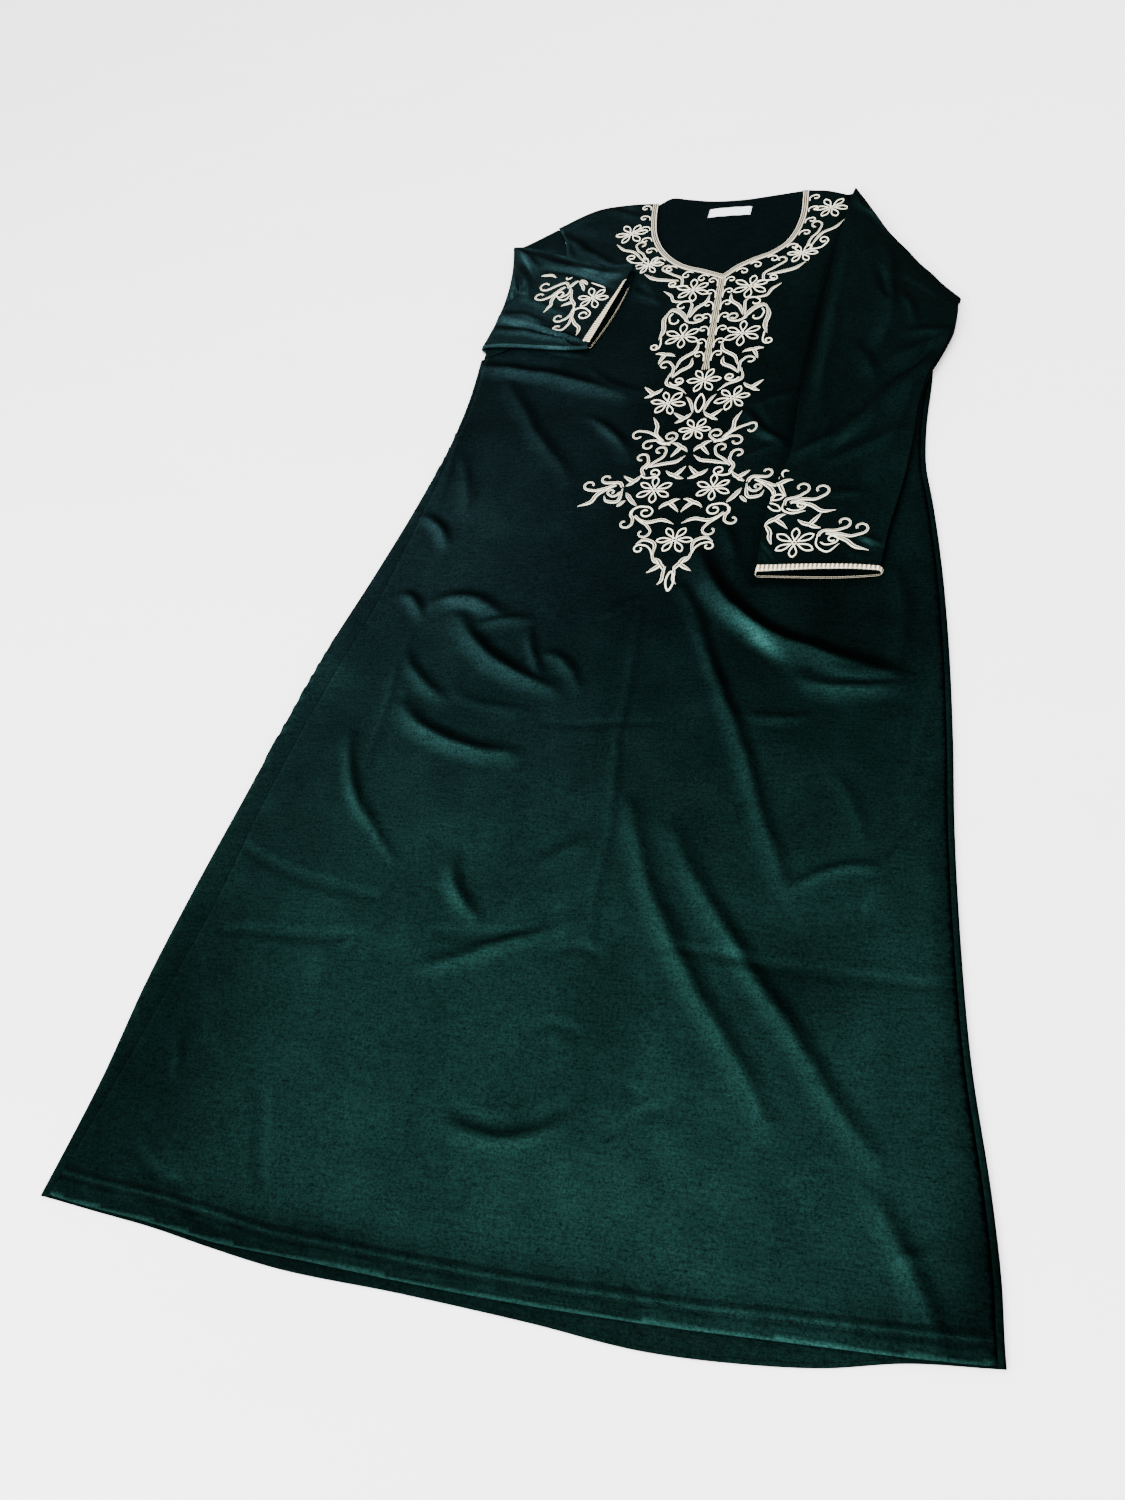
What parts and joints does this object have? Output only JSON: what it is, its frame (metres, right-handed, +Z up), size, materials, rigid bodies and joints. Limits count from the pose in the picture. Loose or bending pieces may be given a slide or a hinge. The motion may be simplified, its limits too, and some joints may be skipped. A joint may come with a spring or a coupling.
{
  "type": "embroidered velvet kaftan",
  "caption": "Long-sleeved ankle-length velvet kaftan laid out flat, one sleeve folded over the chest and one down the front, notched neck and corded placket",
  "frame": {"origin": "middle of the garment's plan, on the floor under it", "axes": "+Y from the hem to the neck, +X to the wearer's left, +Z up out of the floor"},
  "size_m": [0.7692, 1.4478, 0.0162],
  "materials": {
    "velvet": "bottle-green cotton velvet, pile outwards",
    "velvet_inside": "the same velvet, its wrong side showing inside the neck",
    "cord": "cream twisted cord",
    "braid": "cream and pale gold woven braid",
    "label": "white satin label, blank"
  },
  "bodies": {
    "root": {"back_panel": "velvet_inside", "front_panel": "velvet", "right_sleeve": "velvet", "left_sleeve": "velvet", "right_cuff_braid": "braid", "left_cuff_braid": "braid", "neck_braid": "cord", "placket_braid": "cord", "neck_label": "label"}
  },
  "joints": []
}
